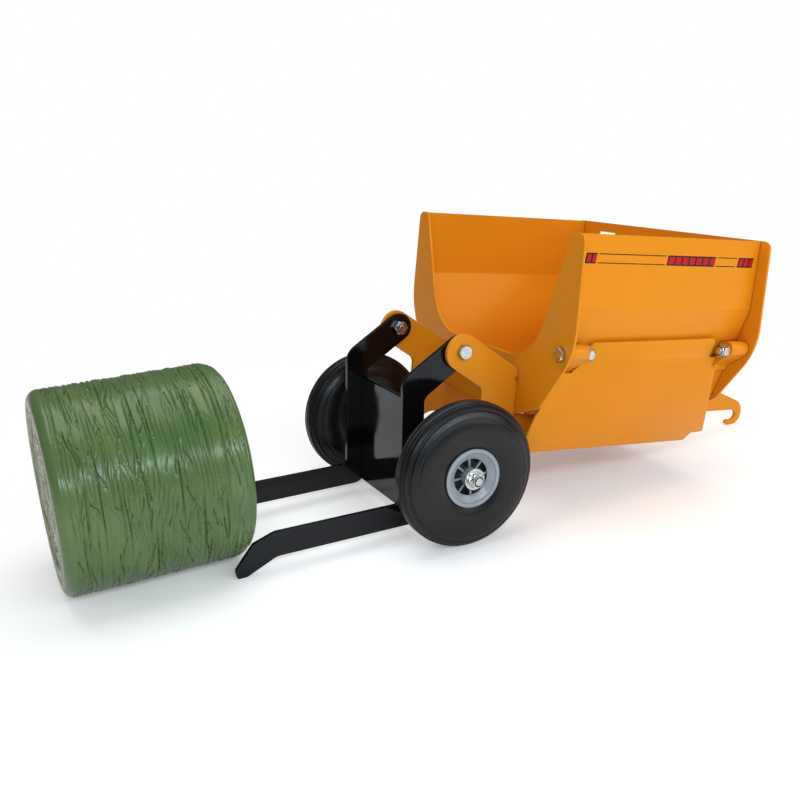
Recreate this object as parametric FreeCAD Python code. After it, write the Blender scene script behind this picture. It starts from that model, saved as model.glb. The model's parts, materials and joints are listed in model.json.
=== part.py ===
"""Towed toy bale processor: a sheet-metal hopper on two wheels, a swinging bale fork, a side
deflector and a loose moulded bale. Millimetres, +Z up, +X towards the hitch, +Y to the left.

The hopper and its chassis are drawn in their own frame, whose origin is the middle of the
axle line, and are then tipped nose down until the hitch hook stands on the ground. The fork
and the bale are drawn level, above the ground point under the axle. At the end everything
moves along X, so that the origin is the middle of the whole footprint, on the ground.
"""
import FreeCAD
import Part

import math
import os

from FreeCAD import Vector

# Stance
WHEEL_RADIUS = 89.0
NOSE_DOWN_DEG = 7.84
FOOTPRINT_CENTRE_X = 69.23

# Hopper, in the chassis frame
END_PLATE_T = 3.0
END_PLATE_FOOT = 55.0
FORK_END_X = 95.5
HITCH_END_X = 387.0
SHELL_T = 2.5
SHELL_HALF_WIDTH = 179.0
HOPPER_TOP = 287.0
SHELL_BEND_Z = 200.0
SHELL_KNEE = (134.0, 72.0)
SHELL_FLOOR = (118.0, 60.0)
BEND_RADIUS = 8.0

# Bolts: one size is used everywhere
SHANK_R = 5.0
RUNNING_R = 5.06
CLEAR_R = 5.2
HEAD_ACROSS_FLATS = 16.0
HEAD_H = 6.4
NUT_ACROSS_FLATS = 17.0
NUT_H = 9.5
INSERT_H = 2.4
INSERT_R = 6.2
BOLT_STUB = 1.3
GAP = 0.15

# Chassis rails
RAIL_INNER_Y = 87.0
RAIL_T = 6.0
RAIL_OUTER_Y = RAIL_INNER_Y + RAIL_T
RAIL_TOP = 53.5
RAIL_BOTTOM = 13.5
RAIL_NECK_X = 44.5
AXLE_LUG_R = 20.0
PIVOT_X = 13.9
PIVOT_Z = 136.1
PIVOT_BOSS_R = 20.5
NECK_ABOVE = 21.3
NECK_BELOW = 23.6
NECK_SLOPE_DEG = 30.5
NOTCH_FOOT = 98.0
NOTCH_HEIGHT = 5.0
NOTCH_DEPTH = 3.0

# Drawbar and hook
DRAWBAR_T = 6.0
DRAWBAR_TOP = 54.0
DRAWBAR_BOTTOM = 13.4
HOOK_THROAT_R = 8.3
HOOK_THROAT_X = 574.4
HOOK_NOSE_X = 594.0
HOOK_FOOT = -10.2
HOOK_TIP_X = 564.3
MIDDLE_CROSSMEMBER_X = 300.0
HITCH_CROSSMEMBER_X = 378.0
CROSSMEMBER_T = 5.0

# Wheels
WHEEL_Y = 142.0
TYRE_WIDTH = 44.0
BEAD_R = 35.8
HUB_BOSS_R = 11.0
HUB_WIDTH = 43.0
SPOKE_COUNT = 8
WASHER_R = 13.0
WASHER_T = 1.6

# Lift fork, in the level frame
ARM_INNER_Y = 78.7
ARM_T = 6.0
ARM_OUTER_Y = ARM_INNER_Y + ARM_T
ARM_HEAD_R = 18.4
UPRIGHT_WIDTH = 29.5
TINE_BOTTOM = 13.2
TINE_TOP = 43.0

# Deflector, in the chassis frame
DEFLECTOR_AXIS = (-175.8, 147.3)
FLAP_T = 2.5
FLAP_TOP_Z = 162.0
FLAP_TOP_Y = -173.1
FLAP_TOP_FALL = 3.0
LUG_LENGTH = 28.8

# Bale, in the level frame
BALE_R = 117.0
BALE_WALL = 3.0
BALE_EDGE_R = 21.0
BALE_FACE_DISH = 3.0
BALE_END_X = -241.0
BALE_LENGTH = 210.5

SHELL_SLOPE = math.atan2(SHELL_HALF_WIDTH - SHELL_KNEE[0], SHELL_BEND_Z - SHELL_KNEE[1])
LEFT = 1
RIGHT = -1


# ---------------------------------------------------------------- drawing tools

def on_xz(y):
    """Places outline points (x, z) on the plane at this y."""
    return lambda u, v: Vector(u, y, v)


def on_yz(x):
    """Places outline points (y, z) on the plane at this x."""
    return lambda u, v: Vector(x, u, v)


def rounded_face(corners, place):
    """A flat face through corners (u, v, radius), each corner rounded to its radius."""
    turns = []
    for i, (u, v, radius) in enumerate(corners):
        here = Vector(u, v, 0)
        before = Vector(*corners[i - 1][:2], 0) - here
        after = Vector(*corners[(i + 1) % len(corners)][:2], 0) - here
        before.normalize()
        after.normalize()
        if radius == 0:
            turns.append((here, None, here))
            continue
        half = before.getAngle(after) / 2
        run = radius / math.tan(half)
        inward = before + after
        inward.normalize()
        centre = here + inward * (radius / math.sin(half))
        middle = centre - inward * radius
        turns.append((here + before * run, middle, here + after * run))
    edges = []
    for i, (start, middle, end) in enumerate(turns):
        if middle is not None:
            arc = [place(p.x, p.y) for p in (start, middle, end)]
            edges.append(Part.Arc(*arc).toShape())
        following = turns[(i + 1) % len(turns)][0]
        if (following - end).Length > 1e-6:
            edges.append(Part.makeLine(place(end.x, end.y), place(following.x, following.y)))
    return Part.Face(Part.Wire(edges))


def plate_xz(corners, y0, y1):
    return rounded_face(corners, on_xz(y0)).extrude(Vector(0, y1 - y0, 0))


def plate_yz(corners, x0, x1):
    return rounded_face(corners, on_yz(x0)).extrude(Vector(x1 - x0, 0, 0))


def rod_x(radius, y, z, x0, x1):
    return Part.makeCylinder(radius, x1 - x0, Vector(x0, y, z), Vector(1, 0, 0))


def rod_y(radius, x, z, y0, y1):
    low = min(y0, y1)
    return Part.makeCylinder(radius, abs(y1 - y0), Vector(x, low, z), Vector(0, 1, 0))


def ring_y(outer, inner, x, z, y0, y1):
    return rod_y(outer, x, z, y0, y1).cut(rod_y(inner, x, z, y0, y1))


def offset_path(points, distance):
    """The open path moved to its left by distance, with mitred corners."""
    normals = []
    for (u0, v0), (u1, v1) in zip(points, points[1:]):
        length = math.hypot(u1 - u0, v1 - v0)
        normals.append(((v0 - v1) / length, (u1 - u0) / length))
    moved = []
    for i, (u, v) in enumerate(points):
        a = normals[max(i - 1, 0)]
        b = normals[min(i, len(normals) - 1)]
        scale = distance / (1 + a[0] * b[0] + a[1] * b[1])
        moved.append((u + (a[0] + b[0]) * scale, v + (a[1] + b[1]) * scale))
    return moved


def bent_sheet(path, thickness, outer_radius):
    """Rounded-outline corners of a sheet whose outer side is path, thickness to its left."""
    last = len(path) - 1
    outer = [(u, v, 0 if i in (0, last) else outer_radius) for i, (u, v) in enumerate(path)]
    inner_radius = outer_radius - thickness
    shifted = offset_path(path, thickness)
    inner = [(u, v, 0 if i in (0, last) else inner_radius) for i, (u, v) in enumerate(shifted)]
    return outer + inner[::-1]


def hexagon(along, at, across_flats, height):
    """A hexagonal prism from point at, height long in the direction along."""
    shape = Part.makeCylinder(across_flats, height, at, along)
    for k in range(6):
        side = Part.makeBox(across_flats * 2, across_flats * 2, height + 2)
        side.translate(Vector(across_flats / 2, -across_flats, -1))
        side.rotate(Vector(0, 0, 0), Vector(0, 0, 1), 60 * k + 30)
        side.Placement = FreeCAD.Placement(at, FreeCAD.Rotation(Vector(0, 0, 1), along)).multiply(
            side.Placement)
        shape = shape.cut(side)
    return shape


def crowned_hexagon(along, at, across_flats, height):
    """A hexagonal prism with its corners turned off at the far end."""
    prism = hexagon(along, at, across_flats, height)
    cone_h = 12.0
    spread = cone_h * math.tan(math.radians(60))
    unit = Vector(along)
    unit.normalize()
    tight = across_flats * 0.49
    top = at + unit * height
    cone = Part.makeCone(tight + spread, tight, cone_h, top - unit * cone_h, unit)
    return prism.common(cone)


def bolt(head_face, along, grip):
    """A hex bolt: head_face is where the head bears, along points from there down the shank."""
    unit = Vector(along)
    unit.normalize()
    head = crowned_hexagon(unit * -1, head_face, HEAD_ACROSS_FLATS, HEAD_H)
    shank = Part.makeCylinder(SHANK_R, grip, head_face - unit * 1.0, unit)
    end = head_face + unit * (grip - 1.0)
    tip = Part.makeCone(SHANK_R, SHANK_R - 0.8, 0.8, end, unit)
    return head.fuse([shank, tip]).removeSplitter()


def locknut(bearing_face, along):
    """A lock nut and its nylon ring: along points from the bearing face outwards."""
    unit = Vector(along)
    unit.normalize()
    hex_h = NUT_H - INSERT_H
    body = crowned_hexagon(unit, bearing_face, NUT_ACROSS_FLATS, hex_h)
    collar_foot = bearing_face + unit * (hex_h - 0.6)
    collar = Part.makeCylinder(INSERT_R + 0.9, INSERT_H + 0.6, collar_foot, unit)
    seat = Part.makeCylinder(INSERT_R, INSERT_H, bearing_face + unit * hex_h, unit)
    hole = Part.makeCylinder(SHANK_R + 0.02, NUT_H + 2, bearing_face - unit, unit)
    nut = body.fuse(collar).cut(seat).cut(hole).removeSplitter()
    ring = Part.makeCylinder(INSERT_R, INSERT_H - 0.4, bearing_face + unit * hex_h, unit)
    return nut, ring.cut(hole)


# ---------------------------------------------------------------- hopper

def shell_y(z):
    """How far out the shell's outer face is on its sloping part, at this height."""
    return SHELL_HALF_WIDTH - (SHELL_BEND_Z - z) * math.tan(SHELL_SLOPE)


def tub_shell():
    right_side = [(-SHELL_HALF_WIDTH, HOPPER_TOP), (-SHELL_HALF_WIDTH, SHELL_BEND_Z)]
    right_side += [(-SHELL_KNEE[0], SHELL_KNEE[1]), (-SHELL_FLOOR[0], SHELL_FLOOR[1])]
    left_side = [(-y, z) for y, z in right_side[::-1]]
    section = bent_sheet(right_side + left_side, SHELL_T, BEND_RADIUS)
    return plate_yz(section, FORK_END_X + END_PLATE_T, HITCH_END_X - END_PLATE_T)


def end_plate_side():
    """Outer outline of an end plate on its left half, from the horn to the flat bottom."""
    horn = [(171.0, HOPPER_TOP + 0.5, 6), (194.5, HOPPER_TOP + 0.5, 11)]
    flank = [(199.0, 150.0, 90), (141.0, 72.0, 30), (94.0, END_PLATE_FOOT, 10)]
    return horn + flank


def mirrored(corners):
    return [(-y, z, r) for y, z, r in corners[::-1]]


def fork_end_plate():
    mouth = [(119.0, 128.0, 75), (-119.0, 128.0, 75)]
    outline = end_plate_side() + mirrored(end_plate_side()) + mouth[::-1]
    plate = plate_yz(outline, FORK_END_X, FORK_END_X + END_PLATE_T)
    y, z = DEFLECTOR_AXIS
    return plate.cut(rod_x(CLEAR_R, y, z, FORK_END_X - 1, FORK_END_X + END_PLATE_T + 1))


def hitch_end_plate():
    outline = end_plate_side()[1:] + mirrored(end_plate_side()[1:])
    x0 = HITCH_END_X - END_PLATE_T
    plate = plate_yz(outline, x0, HITCH_END_X)
    window_w, window_h, window_top = 38.0, 16.0, HOPPER_TOP - 13.2
    corner = Vector(x0 - 1, 102.0, window_top - window_h)
    plate = plate.cut(Part.makeBox(END_PLATE_T + 2, window_w, window_h, corner))
    y, z = DEFLECTOR_AXIS
    return plate.cut(rod_x(CLEAR_R, y, z, x0 - 1, HITCH_END_X + 1))


def deflector_lug(x0):
    """A welded block with a round nose that spaces the deflector's bolt off the shell."""
    top, foot, clear = 157.0, 116.0, 0.02
    outline = [(-shell_y(top) - clear, top, 0), (-184.0, 160.5, 9), (-188.5, 146.0, 9)]
    outline += [(-174.0, 134.5, 9), (-158.5, 125.0, 0), (-155.6, 122.3, 0), (-153.6, foot, 0)]
    outline += [(-shell_y(foot) - clear, foot, 0)]
    block = plate_yz(outline[::-1], x0, x0 + LUG_LENGTH)
    return block.cut(rod_x(CLEAR_R, *DEFLECTOR_AXIS, x0 - 1, x0 + LUG_LENGTH + 1))


def decal(side):
    thickness, bottom, height = 0.2, 253.4, 12.4
    x0, x1 = 110.5, 376.5
    face = side * SHELL_HALF_WIDTH
    corner = Vector(x0, min(face, face + side * thickness), bottom)
    return Part.makeBox(x1 - x0, thickness, height, corner)


# ---------------------------------------------------------------- chassis

def rail(side):
    """Side plate: pivot boss, goose neck, axle lug and the long web under the hopper. A small
    notch opens into the edge that meets the hopper."""
    slope = math.radians(NECK_SLOPE_DEG)
    run = (math.cos(slope), -math.sin(slope))
    up = (math.sin(slope), math.cos(slope))
    r = PIVOT_BOSS_R
    corner_r = r - 0.01

    def along(distance, lift):
        x = PIVOT_X + run[0] * distance + up[0] * lift
        return x, PIVOT_Z + run[1] * distance + up[1] * lift

    def neck_z(x, lift):
        start = along(0, lift)
        return start[1] + (x - start[0]) * run[1] / run[0]

    face_x = FORK_END_X - 0.02
    corners = [(*along(-r, -NECK_BELOW), corner_r), (*along(-r, NECK_ABOVE), corner_r)]
    corners += [(face_x, neck_z(face_x, NECK_ABOVE), 2), (face_x, RAIL_TOP, 0)]
    corners += [(HITCH_END_X - END_PLATE_T, RAIL_TOP, 4)]
    corners += [(HITCH_END_X - END_PLATE_T, RAIL_BOTTOM, 4), (77.0, RAIL_BOTTOM, 30)]
    corners += [(6.0, -AXLE_LUG_R, 24), (-AXLE_LUG_R, -AXLE_LUG_R, AXLE_LUG_R - 0.01)]
    corners += [(-AXLE_LUG_R, AXLE_LUG_R, AXLE_LUG_R - 0.01), (RAIL_NECK_X, AXLE_LUG_R, 12)]
    corners += [(RAIL_NECK_X, neck_z(RAIL_NECK_X, -NECK_BELOW), 10)]
    y0, y1 = sorted((side * RAIL_INNER_Y, side * RAIL_OUTER_Y))
    plate = plate_xz(corners, y0, y1)
    plate = plate.cut(Part.makeBox(NOTCH_DEPTH + 1, RAIL_T + 2, NOTCH_HEIGHT,
                                   Vector(face_x - NOTCH_DEPTH, y0 - 1, NOTCH_FOOT)))
    plate = plate.cut(rod_y(CLEAR_R, PIVOT_X, PIVOT_Z, y0 - 1, y1 + 1))
    return plate.cut(rod_y(CLEAR_R, 0, 0, y0 - 1, y1 + 1))


def crossmember(x0):
    """A plate across the chassis, under the shell's floor and between the rails."""
    height = SHELL_FLOOR[1] - RAIL_BOTTOM
    corner = Vector(x0, -RAIL_INNER_Y, RAIL_BOTTOM)
    return Part.makeBox(CROSSMEMBER_T, 2 * RAIL_INNER_Y, height, corner)


def hitch_crossmember():
    """The crossmember that the drawbar passes through."""
    corner = Vector(HITCH_CROSSMEMBER_X - 1, -DRAWBAR_T / 2, RAIL_BOTTOM - 1)
    slot = Part.makeBox(CROSSMEMBER_T + 2, DRAWBAR_T, DRAWBAR_TOP + 1 - RAIL_BOTTOM, corner)
    return crossmember(HITCH_CROSSMEMBER_X).cut(slot)


def drawbar():
    """Upright plate under the hopper that runs out to a hook, open towards the hopper."""
    throat_top = DRAWBAR_BOTTOM
    throat_foot = throat_top - 2 * HOOK_THROAT_R
    throat_x = HOOK_THROAT_X + HOOK_THROAT_R
    tip_r = (throat_foot - HOOK_FOOT) / 2 - 0.05
    start_x = MIDDLE_CROSSMEMBER_X + CROSSMEMBER_T
    corners = [(start_x, DRAWBAR_TOP, 0), (512.0, DRAWBAR_TOP, 12), (HOOK_NOSE_X, 23.6, 20)]
    corners += [(HOOK_NOSE_X, HOOK_FOOT, 17), (HOOK_TIP_X, HOOK_FOOT, tip_r)]
    corners += [(HOOK_TIP_X, throat_foot, tip_r)]
    corners += [(throat_x, throat_foot, HOOK_THROAT_R - 0.001)]
    corners += [(throat_x, throat_top, HOOK_THROAT_R - 0.001), (start_x, throat_top, 0)]
    return plate_xz(corners, -DRAWBAR_T / 2, DRAWBAR_T / 2)


# ---------------------------------------------------------------- bolts, nuts and washers

def pair(make):
    """One solid on each side of the machine, as a group."""
    return Part.makeCompound([make(LEFT), make(RIGHT)])


def pivot_bolts():
    def one(side):
        face = Vector(PIVOT_X, side * (RAIL_OUTER_Y + GAP), PIVOT_Z)
        grip = RAIL_OUTER_Y + GAP - (ARM_INNER_Y - GAP - NUT_H - BOLT_STUB)
        return bolt(face, Vector(0, -side, 0), grip)
    return pair(one)


def pivot_spacers():
    def one(side):
        return ring_y(11.0, CLEAR_R, PIVOT_X, PIVOT_Z,
                      side * (RAIL_INNER_Y - 0.02), side * (ARM_OUTER_Y + GAP))
    return pair(one)


def pivot_locknut(side):
    return locknut(Vector(PIVOT_X, side * (ARM_INNER_Y - GAP), PIVOT_Z), Vector(0, -side, 0))


HUB_OUTER_Y = WHEEL_Y + HUB_WIDTH / 2
HUB_INNER_Y = WHEEL_Y - HUB_WIDTH / 2


WHEEL_NUT_Y = HUB_OUTER_Y + GAP + WASHER_T


def wheel_bolts():
    """Heads inside the rails, threaded ends outside the wheels."""
    def one(side):
        face = Vector(0, side * (RAIL_INNER_Y - 0.02), 0)
        grip = WHEEL_NUT_Y + NUT_H + BOLT_STUB - RAIL_INNER_Y
        return bolt(face, Vector(0, side, 0), grip)
    return pair(one)


def wheel_washers():
    def one(side):
        y0 = side * (HUB_OUTER_Y + GAP)
        return ring_y(WASHER_R, CLEAR_R, 0, 0, y0, y0 + side * (WASHER_T - 0.02))
    return pair(one)


def wheel_spacers():
    def one(side):
        return ring_y(9.0, CLEAR_R, 0, 0, side * (RAIL_OUTER_Y + 0.02), side * (HUB_INNER_Y - GAP))
    return pair(one)


def wheel_locknut(side):
    return locknut(Vector(0, side * WHEEL_NUT_Y, 0), Vector(0, side, 0))


FORK_LUG_X = FORK_END_X + END_PLATE_T
HITCH_LUG_X = HITCH_END_X - END_PLATE_T - LUG_LENGTH
EAR_GAP = 0.1


def deflector_bolts():
    y, z = DEFLECTOR_AXIS
    grip = END_PLATE_T + LUG_LENGTH + EAR_GAP * 2 + FLAP_T + NUT_H + BOLT_STUB
    fork_bolt = bolt(Vector(FORK_END_X - 0.02, y, z), Vector(1, 0, 0), grip)
    hitch_bolt = bolt(Vector(HITCH_END_X + 0.02, y, z), Vector(-1, 0, 0), grip)
    return Part.makeCompound([fork_bolt, hitch_bolt])


def deflector_locknut(at_fork_end):
    y, z = DEFLECTOR_AXIS
    reach = LUG_LENGTH + EAR_GAP * 2 + FLAP_T
    if at_fork_end:
        return locknut(Vector(FORK_LUG_X + reach, y, z), Vector(1, 0, 0))
    return locknut(Vector(HITCH_LUG_X + LUG_LENGTH - reach, y, z), Vector(-1, 0, 0))


def locknuts(make, sides):
    """The nuts and the nylon rings of a set of lock nuts, as two groups."""
    made = [make(side) for side in sides]
    return Part.makeCompound([m[0] for m in made]), Part.makeCompound([m[1] for m in made])


# ---------------------------------------------------------------- wheels

def turned(profile, side):
    """Revolves corners (radius, y from the wheel's middle, rounding) about the axle line."""
    face = rounded_face(profile, lambda u, v: Vector(u, v, 0))
    shape = face.revolve(Vector(0, 0, 0), Vector(0, 1, 0), 360)
    if shape.Volume < 0:
        shape.reverse()
    shape.translate(Vector(0, side * WHEEL_Y, 0))
    return shape


def tyre(side):
    half = TYRE_WIDTH / 2
    outer = [(BEAD_R, half - 4, 2), (BEAD_R + 10, half, 30), (66.0, half, 40)]
    outer += [(82.0, half - 8, 38), (WHEEL_RADIUS, 7.0, 8.4)]
    shape = turned(outer + [(r, -y, c) for r, y, c in outer[::-1]], side)
    groove_w, groove_d = 1.0, 0.9
    for y, surface in ((3.5, 88.8), (9.0, 86.4), (14.2, 81.2), (19.0, 71.8)):
        for mirror in (1, -1):
            centre = side * WHEEL_Y + mirror * y
            shape = shape.cut(ring_y(WHEEL_RADIUS + 2, surface - groove_d, 0, 0,
                                     centre - groove_w / 2, centre + groove_w / 2))
    return shape


def hub(side):
    """Moulded wheel centre: dished rim, middle web, boss and spokes on both faces."""
    half = TYRE_WIDTH / 2
    rim_r = BEAD_R - 0.02
    web_half, dish_r, dish_y = 2.0, 22.0, half - 8.5
    profile = [(dish_r + 3, web_half, 3), (dish_r, dish_y, 1), (rim_r - 5.6, half - 3.4, 2)]
    profile += [(rim_r - 4.6, half - 1.6, 0.6), (rim_r, half - 2.0, 0.8)]
    half_rim = profile + [(r, -y, c) for r, y, c in profile[::-1]]
    shape = turned(half_rim, side)
    parts = [ring_y(dish_r + 4, HUB_BOSS_R - 2, 0, 0, side * WHEEL_Y - web_half,
                    side * WHEEL_Y + web_half)]
    parts.append(rod_y(HUB_BOSS_R, 0, 0, side * HUB_INNER_Y, side * HUB_OUTER_Y))
    spoke_t, spoke_y = 2.4, dish_y - 1.5
    for k in range(SPOKE_COUNT):
        spoke = Part.makeBox(dish_r - HUB_BOSS_R + 3.5, 2 * spoke_y, spoke_t,
                             Vector(HUB_BOSS_R - 1, side * WHEEL_Y - spoke_y, -spoke_t / 2))
        spoke.rotate(Vector(0, 0, 0), Vector(0, 1, 0), 360 / SPOKE_COUNT * k - NOSE_DOWN_DEG)
        parts.append(spoke)
    shape = shape.fuse(parts).removeSplitter()
    return shape.cut(rod_y(RUNNING_R, 0, 0, side * (HUB_INNER_Y - 1), side * (HUB_OUTER_Y + 1)))


# ---------------------------------------------------------------- lift fork, drawn level

def level_pivot():
    """The fork pivot's place in the level frame, from its place in the tipped chassis."""
    tip = math.radians(NOSE_DOWN_DEG)
    x = PIVOT_X * math.cos(tip) + PIVOT_Z * math.sin(tip)
    z = PIVOT_Z * math.cos(tip) - PIVOT_X * math.sin(tip) + WHEEL_RADIUS
    return x, z


ARM_FRONT_TOP = (-47.9, 182.0)
ARM_FRONT_FOOT = (-58.3, 43.0)


def arm_x(z, behind):
    """The upright's x at a height, this far behind its front edge."""
    top_x, top_z = ARM_FRONT_TOP
    foot_x, foot_z = ARM_FRONT_FOOT
    return foot_x + (z - foot_z) * (top_x - foot_x) / (top_z - foot_z) + behind


def fork_arm(side):
    """One plate: round head at the pivot, bent neck, upright, tine and down-turned tip."""
    px, pz = level_pivot()
    slope = math.radians(30.0)
    run = (-math.cos(slope), -math.sin(slope))
    up = (-math.sin(slope), math.cos(slope))
    r = ARM_HEAD_R

    def along(distance, offset):
        return px + run[0] * distance + up[0] * offset, pz + run[1] * distance + up[1] * offset

    def neck_z(x, offset):
        start = along(0, offset)
        return start[1] + (x - start[0]) * run[1] / run[0]

    front_x = arm_x(205.0, 0)
    back_x = arm_x(176.0, UPRIGHT_WIDTH)
    heel_x = arm_x(TINE_BOTTOM, UPRIGHT_WIDTH)
    corners = [(*along(-r, -r), r - 0.01), (*along(-r, r), r - 0.01)]
    corners += [(front_x, neck_z(front_x, r), 26), (arm_x(TINE_TOP, 0), TINE_TOP, 8)]
    corners += [(-220.0, 46.6, 22), (-246.5, 38.0, 5), (-270.5, 10.5, 6)]
    corners += [(-269.0, 0.4, 3.5), (-257.5, 0.4, 4), (-220.0, 16.4, 22)]
    corners += [(heel_x, TINE_BOTTOM, 20), (back_x, neck_z(back_x, -r), 12)]
    y0, y1 = sorted((side * ARM_INNER_Y, side * ARM_OUTER_Y))
    plate = plate_xz(corners[::-1], y0, y1)
    return plate.cut(rod_y(RUNNING_R, px, pz, y0 - 1, y1 + 1))


def fork_cross_plate():
    top, foot, behind, thickness = 164.0, 18.5, 21.0, 6.0
    corners = [(arm_x(foot, behind), foot, 0), (arm_x(foot, behind + thickness), foot, 0)]
    corners += [(arm_x(top, behind + thickness), top, 2), (arm_x(top, behind), top, 2)]
    return plate_xz(corners, -ARM_INNER_Y, ARM_INNER_Y)


# ---------------------------------------------------------------- deflector

def on_flap(depth):
    """Places outline points (x, z) on the flap's outer face, or depth behind it."""
    lean = math.tan(SHELL_SLOPE)
    behind = depth / math.cos(SHELL_SLOPE)
    return lambda x, z: Vector(x, FLAP_TOP_Y + (FLAP_TOP_Z - z) * lean + behind, z)


def flap_ear(x0):
    """The tab that turns out from the flap and takes the bolt."""
    y, z = DEFLECTOR_AXIS
    place = on_flap(FLAP_T / 2)
    high, low = place(x0, 137.0), place(x0, 120.0)
    web = [(high.y, high.z, 0), (low.y, low.z, 0), (y - 6.5, z - 5.0, 0), (y + 5.5, z + 3.0, 0)]
    ear = plate_yz(web, x0, x0 + FLAP_T)
    return ear.fuse(rod_x(9.0, y, z, x0, x0 + FLAP_T))


def deflector_flap():
    """Sheet flap that hangs from two bolts, notched round the lugs and the nuts."""
    fork_ear_x = FORK_LUG_X + LUG_LENGTH + EAR_GAP
    hitch_ear_x = HITCH_LUG_X - EAR_GAP - FLAP_T
    nut_reach = FLAP_T + NUT_H + BOLT_STUB + 1.0
    fork_nook = fork_ear_x + nut_reach
    hitch_nook = hitch_ear_x + FLAP_T - nut_reach
    fork_top = FLAP_TOP_Z - FLAP_TOP_FALL
    corners = [(fork_nook + 3.0, fork_top, 2), (hitch_nook - 4.0, FLAP_TOP_Z, 2)]
    corners += [(hitch_nook, 155.0, 3), (hitch_nook, 136.0, 2)]
    corners += [(hitch_ear_x + FLAP_T, 136.0, 0), (hitch_ear_x + FLAP_T, 120.0, 0)]
    corners += [(361.0, 119.0, 3), (390.0, 23.0, 2), (370.0, 22.0, 1.5)]
    corners += [(360.0, 11.0, 2), (92.5, 11.0, 3), (92.8, 38.0, 0), (96.0, 62.0, 2)]
    corners += [(98.9, 70.0, 2), (98.9, 122.0, 3), (fork_ear_x, 120.0, 0)]
    corners += [(fork_ear_x, 136.0, 0), (fork_nook, 136.0, 2), (fork_nook, 155.0, 3)]
    outer = rounded_face(corners, on_flap(0))
    square = Vector(0, math.cos(SHELL_SLOPE), math.sin(SHELL_SLOPE))
    sheet = outer.extrude(square * FLAP_T)
    ears = [flap_ear(fork_ear_x), flap_ear(hitch_ear_x)]
    shape = sheet.fuse(ears).removeSplitter()
    return shape.cut(rod_x(RUNNING_R, *DEFLECTOR_AXIS, fork_ear_x - 1, hitch_ear_x + FLAP_T + 1))


# ---------------------------------------------------------------- bale

def bale_drum(radius, x0, x1, edge_r, dish):
    """A drum along X with rounded rims and shallow dished ends."""
    lip = radius - edge_r * 1.6
    profile = [(x0 + dish, 0, 0), (x0 + dish, lip - 6, 4), (x0, lip, 6), (x0, radius, edge_r)]
    profile += [(x1, radius, edge_r), (x1, lip, 6), (x1 - dish, lip - 6, 4), (x1 - dish, 0, 0)]
    face = rounded_face(profile, lambda u, v: Vector(u, v, 0))
    drum = face.revolve(Vector(0, 0, 0), Vector(1, 0, 0), 360)
    drum.translate(Vector(0, 0, BALE_R + 0.2))
    return drum


def bale():
    """Hollow moulded toy bale lying on the ground."""
    x1 = BALE_END_X
    x0 = x1 - BALE_LENGTH
    outer = bale_drum(BALE_R, x0, x1, BALE_EDGE_R, BALE_FACE_DISH)
    inner = bale_drum(BALE_R - BALE_WALL, x0 + BALE_WALL, x1 - BALE_WALL,
                      BALE_EDGE_R - BALE_WALL, BALE_FACE_DISH)
    return outer.cut(inner)


# ---------------------------------------------------------------- placing and writing

def tipped(shape):
    """From the chassis frame to the ground, nose down about the axle line."""
    placed = shape.copy()
    placed.rotate(Vector(0, 0, 0), Vector(0, 1, 0), NOSE_DOWN_DEG)
    placed.translate(Vector(-FOOTPRINT_CENTRE_X, 0, WHEEL_RADIUS))
    return placed


def level(shape):
    placed = shape.copy()
    placed.translate(Vector(-FOOTPRINT_CENTRE_X, 0, 0))
    return placed


def build():
    pivot_nuts, pivot_rings = locknuts(pivot_locknut, (LEFT, RIGHT))
    wheel_nuts, wheel_rings = locknuts(wheel_locknut, (LEFT, RIGHT))
    flap_nuts, flap_rings = locknuts(deflector_locknut, (True, False))
    chassis = {
        "tub_shell": tub_shell(),
        "fork_end_plate": fork_end_plate(),
        "hitch_end_plate": hitch_end_plate(),
        "deflector_lug_fork_end": deflector_lug(FORK_LUG_X),
        "deflector_lug_hitch_end": deflector_lug(HITCH_LUG_X),
        "decal_left": decal(LEFT),
        "decal_right": decal(RIGHT),
        "rail_left": rail(LEFT),
        "rail_right": rail(RIGHT),
        "crossmember_middle": crossmember(MIDDLE_CROSSMEMBER_X),
        "crossmember_hitch_end": hitch_crossmember(),
        "drawbar": drawbar(),
        "pivot_bolts": pivot_bolts(),
        "pivot_spacers": pivot_spacers(),
        "pivot_nuts": pivot_nuts,
        "pivot_nut_rings": pivot_rings,
        "wheel_bolts": wheel_bolts(),
        "wheel_washers": wheel_washers(),
        "wheel_spacers": wheel_spacers(),
        "wheel_nuts": wheel_nuts,
        "wheel_nut_rings": wheel_rings,
        "deflector_bolts": deflector_bolts(),
        "deflector_nuts": flap_nuts,
        "deflector_nut_rings": flap_rings,
        "tyre_left": tyre(LEFT),
        "tyre_right": tyre(RIGHT),
        "hub_left": hub(LEFT),
        "hub_right": hub(RIGHT),
        "deflector_flap": deflector_flap(),
    }
    upright = {
        "fork_arm_left": fork_arm(LEFT),
        "fork_arm_right": fork_arm(RIGHT),
        "fork_cross_plate": fork_cross_plate(),
        "bale": bale(),
    }
    placed = {name: tipped(shape) for name, shape in chassis.items()}
    placed.update({name: level(shape) for name, shape in upright.items()})
    return placed


os.makedirs("parts", exist_ok=True)
for name, shape in build().items():
    if not shape.isValid():
        raise SystemExit(f"{name} is not a valid shape")
    shape.exportStep(f"parts/{name}.step")
    print(name, round(shape.Volume, 1), len(shape.Solids))
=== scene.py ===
import json
import math

import bpy
import numpy as np
from mathutils import Matrix, Vector


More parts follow.
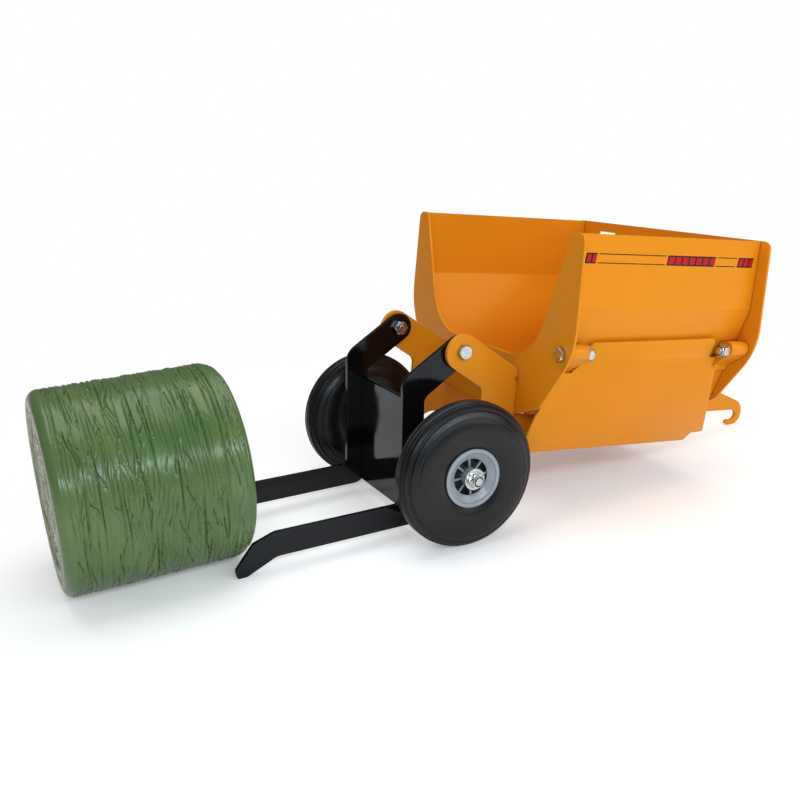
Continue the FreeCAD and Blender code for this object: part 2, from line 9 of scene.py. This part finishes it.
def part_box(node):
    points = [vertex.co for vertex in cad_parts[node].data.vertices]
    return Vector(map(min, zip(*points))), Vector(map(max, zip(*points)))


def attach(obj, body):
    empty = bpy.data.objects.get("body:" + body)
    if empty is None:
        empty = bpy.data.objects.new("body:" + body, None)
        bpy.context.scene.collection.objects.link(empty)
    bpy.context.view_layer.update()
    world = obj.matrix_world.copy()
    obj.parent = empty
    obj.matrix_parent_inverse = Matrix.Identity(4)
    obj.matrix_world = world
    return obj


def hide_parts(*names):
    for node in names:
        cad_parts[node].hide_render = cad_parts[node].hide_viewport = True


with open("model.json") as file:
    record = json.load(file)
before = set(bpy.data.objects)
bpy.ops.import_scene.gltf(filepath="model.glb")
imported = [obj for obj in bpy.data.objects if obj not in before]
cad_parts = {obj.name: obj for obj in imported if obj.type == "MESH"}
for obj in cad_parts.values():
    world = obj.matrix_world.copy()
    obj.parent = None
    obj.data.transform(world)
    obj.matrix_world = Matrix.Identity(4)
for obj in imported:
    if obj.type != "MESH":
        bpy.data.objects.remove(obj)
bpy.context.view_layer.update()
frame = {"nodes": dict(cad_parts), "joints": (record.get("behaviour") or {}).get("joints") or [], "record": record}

MM = 0.001
NODES = frame["nodes"]
JOINTS = {joint["name"]: joint for joint in frame["joints"]}
AXLE_X, _, AXLE_Z = JOINTS["wheel_left_spin"]["pos_m"]


# ---------------------------------------------------------------- materials

class Shader:
    """A node material, with short calls for the textures that every finish uses."""

    def __init__(self, name, color, roughness, metallic=0.0, specular=0.5):
        self.material = bpy.data.materials.new(name)
        self.material.use_nodes = True
        self.tree = self.material.node_tree
        self.surface = self.tree.nodes["Principled BSDF"]
        self.set("Base Color", (*color, 1.0))
        self.set("Roughness", roughness)
        self.set("Metallic", metallic)
        self.set("Specular IOR Level", specular)
        self.place = self.node("ShaderNodeTexCoord").outputs["Object"]

    def node(self, kind, **settings):
        made = self.tree.nodes.new(kind)
        for key, value in settings.items():
            setattr(made, key, value)
        return made

    def feed(self, node, name, value):
        """Gives a node's input a fixed value, or links it to another node's output."""
        target = node.inputs[name]
        if isinstance(value, bpy.types.NodeSocket):
            self.tree.links.new(value, target)
        else:
            target.default_value = value

    def set(self, name, value):
        self.feed(self.surface, name, value)

    def product(self, first, second):
        made = self.node("ShaderNodeMath", operation="MULTIPLY")
        self.feed(made, 0, first)
        self.feed(made, 1, second)
        return made.outputs[0]

    def noise(self, scale, detail=3.0, stretch=(1, 1, 1)):
        mapping = self.node("ShaderNodeMapping")
        self.feed(mapping, "Vector", self.place)
        self.feed(mapping, "Scale", stretch)
        made = self.node("ShaderNodeTexNoise")
        self.feed(made, "Vector", mapping.outputs[0])
        self.feed(made, "Scale", scale)
        self.feed(made, "Detail", detail)
        return made.outputs[0]

    def range(self, value, low, high, to_low, to_high):
        made = self.node("ShaderNodeMapRange", clamp=True)
        for name, number in (("From Min", low), ("From Max", high), ("To Min", to_low), ("To Max", to_high)):
            self.feed(made, name, number)
        self.feed(made, "Value", value)
        return made.outputs[0]

    def mix(self, factor, first, second):
        made = self.node("ShaderNodeMix", data_type="RGBA")
        self.feed(made, 0, factor)
        self.feed(made, 6, (*first, 1.0) if isinstance(first, tuple) else first)
        self.feed(made, 7, (*second, 1.0) if isinstance(second, tuple) else second)
        return made.outputs[2]

    def attribute(self, name):
        return self.node("ShaderNodeAttribute", attribute_name=name).outputs["Fac"]

    def edges(self, radius):
        """1 close to the sharp edges of the piece, 0 away from them."""
        rounded = self.node("ShaderNodeBevel", samples=4)
        self.feed(rounded, "Radius", radius)
        true = self.node("ShaderNodeNewGeometry").outputs["Normal"]
        dot = self.node("ShaderNodeVectorMath", operation="DOT_PRODUCT")
        self.feed(dot, 0, rounded.outputs[0])
        self.feed(dot, 1, true)
        return self.range(dot.outputs["Value"], 0.995, 0.85, 0.0, 1.0)

    def crevices(self, distance):
        """1 deep in narrow gaps and recesses, 0 on open surfaces; the mask for painted shade."""
        made = self.node("ShaderNodeAmbientOcclusion", samples=6)
        self.feed(made, "Distance", distance)
        return self.range(made.outputs["AO"], 0.25, 0.75, 1.0, 0.0)

    def bump(self, *layers):
        """Stacks (height, depth in metres) layers into the surface's normal."""
        normal = None
        for height, depth in layers:
            made = self.node("ShaderNodeBump")
            self.feed(made, "Height", height)
            self.feed(made, "Distance", depth)
            if normal is not None:
                self.feed(made, "Normal", normal)
            normal = made.outputs[0]
        self.set("Normal", normal)


def scaled(color, factor):
    return tuple(min(1.0, part * factor) for part in color)


def paint(name, color, rubbed_and_lit_edge_color, roughness, shine):
    """Gloss powder coat: orange peel, cloudy tone, painted shade in narrow gaps, and edges lightened partly as
    rubbed-thin paint and partly as painted edge highlight.
    """
    made = Shader(name, color, roughness)
    made.set("Specular Tint", (*shine, 1.0))
    cloud = made.range(made.noise(9.0, 4.0), 0.35, 0.65, 0.0, 1.0)
    tone = made.mix(cloud, scaled(color, 0.975), scaled(color, 1.02))
    # Lighter edges: partly paint rubbed thin, partly a painted edge highlight, broken into patches by noise.
    rim = made.edges(0.9 * MM)
    edge_patches = made.range(made.noise(160.0, 5.0), 0.5, 0.75, 0.15, 0.6)
    rubbed_and_lit_edges = made.product(rim, edge_patches)
    # Painted shade: narrow gaps and seams are darkened by occlusion towards a quarter of the colour.
    gaps = made.range(made.crevices(3.0 * MM), 0.0, 1.0, 0.0, 0.8)
    tone = made.mix(gaps, tone, scaled(color, 0.25))
    made.set("Base Color", made.mix(rubbed_and_lit_edges, tone, rubbed_and_lit_edge_color))
    made.set("Roughness", made.range(made.noise(60.0, 4.0), 0.3, 0.7, roughness * 0.9, roughness * 1.12))
    made.bump((made.noise(420.0, 2.0), 0.05 * MM), (made.noise(60.0, 2.0), 0.06 * MM))
    return made.material


def zinc(name):
    """Bright zinc plating: streaked, slightly blue and straw in places."""
    made = Shader(name, (0.72, 0.74, 0.77), 0.22, metallic=1.0)
    tint = made.range(made.noise(140.0), 0.4, 0.6, 0.0, 1.0)
    made.set("Base Color", made.mix(tint, (0.46, 0.52, 0.58), (0.66, 0.65, 0.58)))
    made.set("Roughness", made.range(made.noise(700.0), 0.3, 0.7, 0.10, 0.24))
    made.bump((made.noise(900.0, 2.0, (1, 6, 1)), 0.03 * MM), (made.noise(190.0, 2.0), 0.6 * MM))
    return made.material


def rubber(name):
    """Black rubber with a fine mould grain and a trace of dust."""
    made = Shader(name, (0.006, 0.006, 0.007), 0.35, specular=0.4)
    dust = made.range(made.noise(30.0, 6.0), 0.45, 0.75, 0.0, 0.3)
    made.set("Base Color", made.mix(dust, (0.003, 0.003, 0.004), (0.010, 0.010, 0.011)))
    made.set("Roughness", made.range(made.noise(90.0, 5.0), 0.3, 0.7, 0.28, 0.36))
    made.bump((made.noise(1600.0, 2.0), 0.04 * MM), (made.noise(40.0, 2.0), 0.03 * MM))
    return made.material


def plastic(name, color, roughness, specular=0.5, recess=0.0):
    """Moulded plastic with a fine grain, and painted shade darkening recesses narrower than recess."""
    made = Shader(name, color, roughness, specular=specular)
    tone = made.mix(made.range(made.noise(40.0, 4.0), 0.35, 0.65, 0.0, 1.0), color, scaled(color, 1.12))
    if recess:
        # Painted shade: recesses darkened by occlusion towards an eighth of the colour.
        tone = made.mix(made.crevices(recess), tone, scaled(color, 0.12))
    made.set("Base Color", tone)
    made.set("Roughness", made.range(made.noise(300.0), 0.3, 0.7, roughness * 0.85, roughness * 1.2))
    made.bump((made.noise(1300.0, 2.0), 0.04 * MM))
    return made.material


def bale_plastic(name):
    """Moulded green plastic with painted shade darkening its creases, and straw-coloured ends whose grooves are
    darker, partly their own colour and partly painted shade.
    """
    made = Shader(name, (0.09, 0.18, 0.055), 0.3)
    crest = made.attribute("crest")
    face = made.attribute("face")
    patch = made.range(made.noise(14.0, 4.0), 0.4, 0.65, 0.0, 1.0)
    side = made.mix(patch, (0.078, 0.140, 0.044), (0.106, 0.172, 0.055))
    # Painted shade: the creases of the barrel are darkened towards a deep green.
    side = made.mix(made.range(crest, 0.0, 0.75, 0.4, 0.0), side, (0.026, 0.060, 0.018))
    # Ends: straw colour on the raised coils and green-brown in the grooves, partly the ends' own colour and partly
    # painted shade.
    straw = made.mix(made.range(crest, 0.2, 0.9, 0.0, 1.0), (0.10, 0.14, 0.07), (0.33, 0.33, 0.21))
    made.set("Base Color", made.mix(face, side, straw))
    made.set("Roughness", made.range(made.noise(90.0, 4.0), 0.3, 0.7, 0.20, 0.30))
    made.bump((made.noise(500.0), 0.05 * MM))
    return made.material


# ---------------------------------------------------------------- mesh tools

def mesh_object(name, verts, faces, material, body, slot, smooth_angle=35.0):
    mesh = bpy.data.meshes.new(name)
    mesh.from_pydata([tuple(v) for v in verts], [], faces)
    mesh.update()
    mesh.shade_smooth()
    mesh.set_sharp_from_angle(angle=math.radians(smooth_angle))
    mesh.materials.append(material)
    made = bpy.data.objects.new(name, mesh)
    bpy.context.scene.collection.objects.link(made)
    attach(made, body)
    return made


def rounded_outline(corners, steps):
    """Points along an outline whose corners (u, v, radius) are turned to arcs."""
    points = []
    for i, (u, v, radius) in enumerate(corners):
        here = np.array((u, v), float)
        before = np.array(corners[i - 1][:2], float) - here
        after = np.array(corners[(i + 1) % len(corners)][:2], float) - here
        before /= np.linalg.norm(before)
        after /= np.linalg.norm(after)
        half = math.acos(np.clip(before @ after, -1, 1)) / 2
        inward = (before + after) / np.linalg.norm(before + after)
        centre = here + inward * radius / math.sin(half)
        start = here + before * radius / math.tan(half) - centre
        end = here + after * radius / math.tan(half) - centre
        sweep = math.pi - 2 * half
        for t in np.linspace(0, 1, steps + 1):
            from_start = math.sin((1 - t) * sweep) / math.sin(sweep)
            from_end = math.sin(t * sweep) / math.sin(sweep)
            points.append(centre + start * from_start + end * from_end)
    return np.array(points)


def resampled(points, spacing):
    """The closed outline with points no further apart than spacing."""
    out = []
    for a, b in zip(points, np.roll(points, -1, axis=0)):
        count = max(1, math.ceil(np.linalg.norm(b - a) / spacing))
        out += [a + (b - a) * k / count for k in range(count)]
    return np.array(out)


def ring_faces(rows, columns):
    """Quads over a grid of rows that closes both ways."""
    faces = []
    for i in range(rows):
        j = (i + 1) % rows
        for k in range(columns):
            m = (k + 1) % columns
            faces.append((i * columns + k, i * columns + m, j * columns + m, j * columns + k))
    return faces


def lathe_y(profile, middle, segments):
    """Turns an outline of (radius, y) in mm about the Y axis through middle."""
    turn = np.linspace(0, 2 * math.pi, segments, endpoint=False)
    radius = profile[:, 0][:, None] * MM
    x = middle[0] + radius * np.cos(turn)[None, :]
    z = middle[2] + radius * np.sin(turn)[None, :]
    y = np.broadcast_to(middle[1] + profile[:, 1][:, None] * MM, x.shape)
    verts = np.stack([x, y, z], axis=-1).reshape(-1, 3)
    return verts, ring_faces(len(profile), segments)


# ---------------------------------------------------------------- bale
# Lengths in this section are in mm. Relief maps have one row per step from end to end and
# one column per step round the bale.

BALE_TURN = np.linspace(0, 2 * math.pi, 840, endpoint=False)
BALE_RELIEF = 2.9
FAR_EDGE, NEAR_EDGE = 14.0, 21.0
BARREL_STEP, FACE_STEP, EDGE_STEPS = 0.65, 1.2, 40
DISH_DEPTH, DISH_RIM, DISH_SLOPE = 2.5, 14.0, 10.0
FOLD_PITCH = 4.6
HOOPS, STRANDS, LONG_STRANDS = 32, 480, 60
FACE_HOOPS, FACE_STRANDS = 24, 170


def soft_window(distance, half_length):
    """1 in the middle, falling smoothly to 0 at half_length."""
    ramp = np.clip((1 - np.abs(distance) / half_length) * 2.5, 0, 1)
    return ramp ** 2 * (3 - 2 * ramp)


def angle_from(turn, start):
    return (turn - start + math.pi) % (2 * math.pi) - math.pi


def crease(distance, width):
    """Cross-section of a crease in the wrap: steep on one side, fading on the other."""
    return np.exp(-(np.abs(distance) / np.where(distance < 0, width * 2.2, width * 0.6)) ** 1.5)


def add_strand(depth, across, turn, rng, centre, step, reach, width, deep):
    """Presses one crease that leaves one hoop, crosses over by step and joins the next."""
    start = rng.uniform(0, 2 * math.pi)
    away = angle_from(turn, start)
    near = np.flatnonzero(np.abs(away) < reach)
    away = away[near][None, :]
    sway = rng.uniform(0.3, 1.2) * np.sin(away * rng.uniform(3, 8) + rng.uniform(0, 6))
    line = centre + step / 2 * np.tanh(away / reach * 2.2) + sway
    cut = crease((across[:, None] - line) * rng.choice((-1, 1)), width)
    depth[:, near] = np.maximum(depth[:, near], deep * cut * soft_window(away, reach))


def add_hoop(depth, across, turn, rng, centre, width, deep, wander):
    """Presses a crease that goes all the way round, deeper in some places than in others."""
    line = centre + wander * rng.uniform(0.5, 1) * np.sin(turn * rng.integers(1, 4) + rng.uniform(0, 6))
    line = line + wander * rng.uniform(0.15, 0.35) * np.sin(turn * rng.integers(5, 11) + rng.uniform(0, 6))
    cut = crease((across[:, None] - line[None, :]) * rng.choice((-1, 1)), width)
    swell = 0.65 + 0.35 * np.sin(turn * rng.integers(2, 6) + rng.uniform(0, 6))[None, :]
    np.maximum(depth, deep * cut * swell, out=depth)


def ripples(across, turn, rng):
    """Fine, nearly parallel folds that flow round the barrel and come and go."""
    around = turn[None, :]
    along = across[:, None]
    warp = np.zeros((len(across), len(turn)))
    patch = np.zeros_like(warp)
    for _ in range(14):
        wave = rng.integers(1, 8) * around + along / rng.uniform(14, 60) + rng.uniform(0, 6)
        warp += rng.uniform(0.2, 0.9) * np.sin(wave)
        patch += np.sin(rng.integers(2, 14) * around + along / rng.uniform(4, 16) + rng.uniform(0, 6))
    folds = 0.5 + 0.5 * np.cos(2 * math.pi * (along + warp) / FOLD_PITCH)
    return folds ** 2 * np.clip(0.65 + patch * 0.2, 0, 1)


def side_relief(across, turn, length):
    """Height, 1 on the smooth surface and 0 in the deepest creases, of the wrapped barrel."""
    rng = np.random.default_rng(7)
    depth = 0.55 * ripples(across, turn, rng)
    for k in range(HOOPS):
        centre = 19 + (length - 30) * k / (HOOPS - 1) + rng.uniform(-1.5, 1.5)
        add_hoop(depth, across, turn, rng, centre, rng.uniform(0.8, 1.2), rng.uniform(0.65, 1.0), 2.0)
    for _ in range(STRANDS):
        step = rng.choice((-1, 1)) * rng.uniform(3, 9)
        add_strand(depth, across, turn, rng, rng.uniform(20, length - 14), step,
                   rng.uniform(0.06, 0.26), rng.uniform(0.5, 0.9), rng.uniform(0.35, 0.95))
    for _ in range(LONG_STRANDS):
        add_strand(depth, across, turn, rng, rng.uniform(22, length - 16), rng.uniform(-12, 12),
                   rng.uniform(0.4, 1.1), rng.uniform(2.0, 3.2), rng.uniform(0.25, 0.5))
    inside = np.clip(np.minimum((across - 17) / 6, (length - across - 8) / 8), 0, 1)
    return 1 - depth * inside[:, None]


def face_relief(across, turn, reach, seed):
    """Height from 0 to 1 of the coiled straw on an end."""
    rng = np.random.default_rng(seed)
    depth = np.zeros((len(across), len(turn)))
    for k in range(FACE_HOOPS):
        centre = reach * (k + 0.7) / (FACE_HOOPS + 0.5)
        add_hoop(depth, across, turn, rng, centre, rng.uniform(0.7, 1.1), rng.uniform(0.6, 1.0), 1.4)
    for _ in range(FACE_STRANDS):
        add_strand(depth, across, turn, rng, rng.uniform(14, reach - 4), rng.uniform(-14, 14),
                   rng.uniform(0.12, 0.5), rng.uniform(0.6, 1.2), rng.uniform(0.5, 1.0))
    inside = np.clip(np.minimum((across - 3) / 8, (reach - across) / 3), 0, 1)
    return 1 - depth * inside[:, None]


def bale_end(edge, radius, seed):
    """Rows from the middle of an end to the barrel: radius, depth, height, face mask."""
    flat = radius - edge
    face_r = np.arange(1.0, flat, FACE_STEP)
    arc = np.linspace(0, math.pi / 2, EDGE_STEPS + 2)[1:-1]
    dish = DISH_DEPTH * np.clip((flat - DISH_RIM - face_r) / DISH_SLOPE, 0, 1)
    return {
        "r": np.concatenate([face_r, flat + edge * np.sin(arc)]),
        "x": np.concatenate([dish, edge - edge * np.cos(arc)]),
        "walked": edge * arc,
        "height": face_relief(face_r, BALE_TURN, flat, seed),
        "mask": np.concatenate([np.ones(len(face_r)), np.clip(1 - arc * 2.5, 0, 1)]),
    }


def bale_rows(radius, length):
    """Rows from the middle of one end to the other's: radius, place along the axis, height, mask."""
    far = bale_end(FAR_EDGE, radius, 19)
    near = bale_end(NEAR_EDGE, radius, 23)
    barrel_x = np.arange(FAR_EDGE, length - NEAR_EDGE + 0.01, BARREL_STEP)
    far_rim = FAR_EDGE * math.pi / 2
    barrel_end = far_rim + length - FAR_EDGE - NEAR_EDGE
    walked_length = barrel_end + NEAR_EDGE * math.pi / 2
    walked = [far["walked"], far_rim + barrel_x - FAR_EDGE, walked_length - near["walked"][::-1]]
    side = side_relief(np.concatenate(walked), BALE_TURN, walked_length)
    along_r = np.concatenate([far["r"], np.full(len(barrel_x), radius), near["r"][::-1]])
    along_x = np.concatenate([far["x"], barrel_x, length - near["x"][::-1]])
    height = np.concatenate([far["height"], side, near["height"][::-1]])
    face_mask = np.concatenate([far["mask"], np.zeros(len(barrel_x)), near["mask"][::-1]])
    return along_r, along_x, height, face_mask


def build_bale(material):
    """The moulded bale: a closed skin whose creases are pressed in along its normal."""
    low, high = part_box("bale")
    radius = (high.z - low.z) / 2 / MM
    length = (high.x - low.x) / MM
    centre_z = (high.z + low.z) / 2
    along_r, along_x, height, face_mask = bale_rows(radius, length)

    step_r, step_x = np.gradient(along_r), np.gradient(along_x)
    size = np.hypot(step_r, step_x)
    out_r, out_x = step_x / size, -step_r / size
    sink = (height - 1) * BALE_RELIEF
    r = (along_r[:, None] + out_r[:, None] * sink) * MM
    x = low.x + (along_x[:, None] + out_x[:, None] * sink) * MM
    verts = np.stack([x, r * np.sin(BALE_TURN), centre_z + r * np.cos(BALE_TURN)], axis=-1)
    verts = verts.reshape(-1, 3)

    rows, columns = r.shape
    last = (rows - 1) * columns
    faces = ring_faces(rows, columns)[:last]
    verts = np.vstack([verts, (x[0].mean(), 0, centre_z), (x[-1].mean(), 0, centre_z)])
    for k in range(columns):
        m = (k + 1) % columns
        faces.append((rows * columns, m, k))
        faces.append((rows * columns + 1, last + k, last + m))
    made = mesh_object("bale_moulding", verts, faces, material, "bale", "bale_green", 80)
    for name, values in (("crest", height), ("face", np.repeat(face_mask[:, None], columns, 1))):
        layer = made.data.attributes.new(name, "FLOAT", "POINT")
        layer.data.foreach_set("value", np.append(values.ravel(), (0, 1)).astype(np.float32))
    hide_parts("bale")


# ---------------------------------------------------------------- wheels

# Half of the tyre's section as (radius, half width, corner radius), from bead to tread, in mm.
TYRE_CORNERS = [(35.8, 18, 2), (45.8, 22, 30), (66, 22, 40), (82, 14, 38), (89, 7, 8.4)]
# Tread grooves on each side of the middle as (half width, depth, groove width), in mm.
GROOVES = ((3.5, 1.2, 0.8), (9.0, 1.5, 1.0), (14.2, 1.5, 0.9), (19.0, 0.6, 0.45))
GROOVED_FROM = 62
OUTLINE_STEP = 0.3
TYRE_SEGMENTS = 192


def tyre_profile():
    """The closed section of the tyre as (radius, y) in mm, with its grooves pressed in."""
    mirrored = [(r, -y, corner) for r, y, corner in TYRE_CORNERS[::-1]]
    outline = resampled(rounded_outline(TYRE_CORNERS + mirrored, 14), OUTLINE_STEP)
    along = np.roll(outline, -1, axis=0) - np.roll(outline, 1, axis=0)
    along /= np.linalg.norm(along, axis=1)[:, None]
    normal = np.stack([-along[:, 1], along[:, 0]], axis=1)
    depth = np.zeros(len(outline))
    for y, deep, width in GROOVES:
        groove = deep * np.exp(-((np.abs(outline[:, 1]) - y) / width) ** 4)
        depth = np.maximum(depth, np.where(outline[:, 0] > GROOVED_FROM, groove, 0))
    return outline - normal * depth[:, None]


def build_tyre(side, material):
    low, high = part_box(f"tyre_{side}")
    middle = (AXLE_X, (low.y + high.y) / 2, AXLE_Z)
    verts, faces = lathe_y(tyre_profile(), middle, TYRE_SEGMENTS)
    made = mesh_object(f"tyre_skin_{side}", verts, faces, material, f"wheel_{side}", "rubber", 50)
    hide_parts(f"tyre_{side}")


# ---------------------------------------------------------------- stripe
# Places are in mm from the axle, in the hopper's own frame before it tips nose down.

NOSE_DOWN = math.radians(7.84)
STRIPE_BLOCKS = ((110.8, 126.4, 2), (233.0, 310.0, 7), (348.6, 374.4, 3))
STRIPE_FOOT, STRIPE_TOP = 253.6, 265.6
STRIPE_LEAN = 0.15
SHELL_FACE = 179.0
CELL_RIM, FRAME_RIM, BAR_WIDTH, LINE_WIDTH, LINE_GAP = 0.8, 1.6, 2.2, 1.0, 3.0


def tipped(x, y, z):
    """From the hopper's own frame to the ground."""
    ahead = x * math.cos(NOSE_DOWN) + z * math.sin(NOSE_DOWN)
    height = z * math.cos(NOSE_DOWN) - x * math.sin(NOSE_DOWN)
    return AXLE_X + ahead * MM, y * MM, AXLE_Z + height * MM


def slab(verts, faces, side, x0, x1, z0, z1, thickness):
    """Adds a slanted flat bar that lies on the shell, as a closed solid."""
    first = len(verts)
    face = SHELL_FACE * side
    for y in (face - 0.02 * side, face + thickness * side):
        for x, z in ((x0, z0), (x1, z0), (x1, z1), (x0, z1)):
            verts.append(tipped(x + (z - STRIPE_FOOT) * STRIPE_LEAN, y, z))
    quads = [(0, 1, 2, 3), (7, 6, 5, 4), (0, 4, 5, 1), (1, 5, 6, 2), (2, 6, 7, 3), (3, 7, 4, 0)]
    for quad in quads:
        order = quad if side > 0 else quad[::-1]
        faces.append(tuple(first + k for k in order))


def build_stripe(side, red, black):
    """A plain band on the shell: red cells in black frames, joined by thin lines."""
    sign = 1 if side == "left" else -1
    cells, frames = ([], []), ([], [])
    for x0, x1, count in STRIPE_BLOCKS:
        slab(*cells, sign, x0, x1, STRIPE_FOOT + CELL_RIM, STRIPE_TOP - CELL_RIM, 0.12)
        for z0 in (STRIPE_FOOT, STRIPE_TOP - FRAME_RIM):
            slab(*frames, sign, x0, x1, z0, z0 + FRAME_RIM, 0.18)
        pitch = (x1 - x0) / count
        for k in range(count):
            bar = x0 + k * pitch + 0.1
            slab(*frames, sign, bar, bar + BAR_WIDTH, STRIPE_FOOT + 0.9, STRIPE_TOP - 0.9, 0.2)
    for (_, x0, _), (x1, _, _) in zip(STRIPE_BLOCKS, STRIPE_BLOCKS[1:]):
        for z0 in (STRIPE_FOOT + 0.3, STRIPE_TOP - 0.3 - LINE_WIDTH):
            slab(*frames, sign, x0 + LINE_GAP, x1 - LINE_GAP, z0, z0 + LINE_WIDTH, 0.18)
    mesh_object(f"stripe_cells_{side}", *cells, red, "chassis", "stripe", 10)
    made = mesh_object(f"stripe_frame_{side}", *frames, black, "chassis", "stripe", 10)
    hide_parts(f"decal_{side}")


# ---------------------------------------------------------------- CAD nodes

def dress(name, material, bevel):
    """Gives a CAD node its finish, and softens its edges without touching its mesh."""
    node = NODES[name]
    node.data.materials.clear()
    node.data.materials.append(material)
    for polygon in node.data.polygons:
        polygon.material_index = 0
    weld = node.modifiers.new("weld", "WELD")
    weld.merge_threshold = 0.01 * MM
    if bevel:
        flat = node.modifiers.new("flat", "DECIMATE")
        flat.decimate_type = "DISSOLVE"
        flat.angle_limit = math.radians(0.4)
        soft = node.modifiers.new("bevel", "BEVEL")
        soft.width = bevel
        soft.segments = 2
        soft.limit_method = "ANGLE"
        soft.angle_limit = math.radians(40)
        soft.harden_normals = True


ORANGE = paint("orange_paint", (0.78, 0.262, 0.010), (0.88, 0.46, 0.10), 0.22, (0.75, 0.42, 0.15))
BLACK = paint("black_paint", (0.003, 0.003, 0.0035), (0.05, 0.05, 0.055), 0.07, (0.65, 0.68, 0.72))
ZINC = zinc("zinc_plate")
RUBBER = rubber("rubber")
# The hub gets painted shade in its recesses.
HUB = plastic("hub_grey", (0.27, 0.292, 0.32), 0.20, recess=14.0 * MM)
NYLON = plastic("lock_ring", (0.012, 0.014, 0.022), 0.45)
BALE = bale_plastic("bale_green")
RED = plastic("stripe_red", (0.46, 0.008, 0.014), 0.25, specular=0.2)
INK = plastic("stripe_black", (0.006, 0.006, 0.007), 0.25, specular=0.3)

# Each material slot's finish, and the width of the softened edges of its pieces.
FINISH = {
    "orange_paint": (ORANGE, 0.4 * MM),
    "black_paint": (BLACK, 0.6 * MM),
    "zinc_plate": (ZINC, 0.3 * MM),
    "hub_grey": (HUB, 0.3 * MM),
    "lock_ring": (NYLON, None),
    "rubber": (RUBBER, None),
    "bale_green": (BALE, None),
    "stripe": (INK, None),
}

for part in frame["record"]["subparts"]:
    dress(part["node"], *FINISH[part["material_slot"]])

build_bale(BALE)
for wheel_side in ("left", "right"):
    build_tyre(wheel_side, RUBBER)
    build_stripe(wheel_side, RED, INK)


# ---------------------------------------------------------------- stage, light and camera

FLOOR_SIZE = 80
FADE_START, FADE_END = 0.45, 0.95
FLOOR_LIFT = 0.22
BACKDROP, FILL, ROOM = 1.0, 0.36, 0.14
CAMERA_YAW, CAMERA_PITCH, CAMERA_ROLL = math.radians(25.91), math.radians(16.95), math.radians(-3.08)
CAMERA_PLACE = (AXLE_X - 0.5129, -1.034, 0.4965)
SENSOR_WIDTH, LENS = 36.0, 42.0


def floor():
    """A pale floor that turns to plain white away from the piece, for the camera only."""
    bpy.ops.mesh.primitive_plane_add(size=FLOOR_SIZE, location=(0, 0, 0))
    plane = bpy.context.object
    plane.name = "floor"
    made = Shader("floor", (0.95, 0.95, 0.95), 0.7, specular=0.2)
    made.set("Roughness", made.range(made.noise(3.0), 0.3, 0.7, 0.6, 0.8))
    seen = made.node("ShaderNodeLightPath").outputs["Is Camera Ray"]
    made.set("Emission Color", (1, 1, 1, 1))
    made.set("Emission Strength", made.product(seen, FLOOR_LIFT))
    away = made.node("ShaderNodeVectorMath", operation="LENGTH")
    made.feed(away, 0, made.place)
    distance = made.range(away.outputs["Value"], FADE_START, FADE_END, 0.0, 1.0)
    white = made.node("ShaderNodeEmission")
    blend = made.node("ShaderNodeMixShader")
    made.feed(blend, 0, made.product(distance, seen))
    made.feed(blend, 1, made.surface.outputs[0])
    made.feed(blend, 2, white.outputs[0])
    made.feed(made.tree.nodes["Material Output"], "Surface", blend.outputs[0])
    plane.data.materials.append(made.material)


def area_light(name, place, target, size, power, color=(1, 1, 1)):
    lamp = bpy.data.lights.new(name, "AREA")
    lamp.shape = "RECTANGLE"
    lamp.size, lamp.size_y = size
    lamp.energy = power
    lamp.color = color
    made = bpy.data.objects.new(name, lamp)
    made.location = place
    made.rotation_euler = (Vector(target) - Vector(place)).to_track_quat("-Z", "Y").to_euler()
    bpy.context.scene.collection.objects.link(made)


def camera():
    """Looks down on the piece from its front right, slightly rolled."""
    ahead = (math.sin(CAMERA_YAW), math.cos(CAMERA_YAW))
    forward = Vector((ahead[0] * math.cos(CAMERA_PITCH), ahead[1] * math.cos(CAMERA_PITCH),
                      -math.sin(CAMERA_PITCH)))
    level = Vector((ahead[1], -ahead[0], 0))
    up = level.cross(forward)
    right = level * math.cos(CAMERA_ROLL) + up * math.sin(CAMERA_ROLL)
    top = up * math.cos(CAMERA_ROLL) - level * math.sin(CAMERA_ROLL)
    data = bpy.data.cameras.new("camera")
    data.sensor_width = SENSOR_WIDTH
    data.lens = LENS
    made = bpy.data.objects.new("camera", data)
    turn = Matrix((right, top, -forward)).transposed()
    made.matrix_world = Matrix.LocRotScale(Vector(CAMERA_PLACE), turn, None)
    bpy.context.scene.collection.objects.link(made)
    bpy.context.scene.camera = made


def world_light():
    """White behind the piece, a dim room in its reflections, and soft fill elsewhere."""
    world = bpy.data.worlds.new("studio")
    world.use_nodes = True
    nodes, links = world.node_tree.nodes, world.node_tree.links
    path = nodes.new("ShaderNodeLightPath")
    reflected = nodes.new("ShaderNodeMix")
    reflected.inputs[2].default_value = FILL
    reflected.inputs[3].default_value = ROOM
    links.new(path.outputs["Is Glossy Ray"], reflected.inputs[0])
    level = nodes.new("ShaderNodeMix")
    level.inputs[3].default_value = BACKDROP
    links.new(path.outputs["Is Camera Ray"], level.inputs[0])
    links.new(reflected.outputs[0], level.inputs[2])
    links.new(level.outputs[0], nodes["Background"].inputs["Strength"])
    nodes["Background"].inputs["Color"].default_value = (1, 1, 1, 1)
    bpy.context.scene.world = world


floor()
world_light()
area_light("overhead", (0.1, 0.3, 2.2), (0.1, 0.05, 0.1), (2.6, 2.0), 30)
area_light("front", (-0.35, -1.85, 1.15), (-0.35, 0, 0.12), (2.6, 0.24), 23, (0.76, 0.90, 1.0))
area_light("right", (1.3, -1.5, 0.9), (0.15, -0.1, 0.15), (1.0, 1.0), 7.5, (1.0, 0.98, 0.94))
camera()
bpy.context.scene.view_settings.view_transform = "Standard"
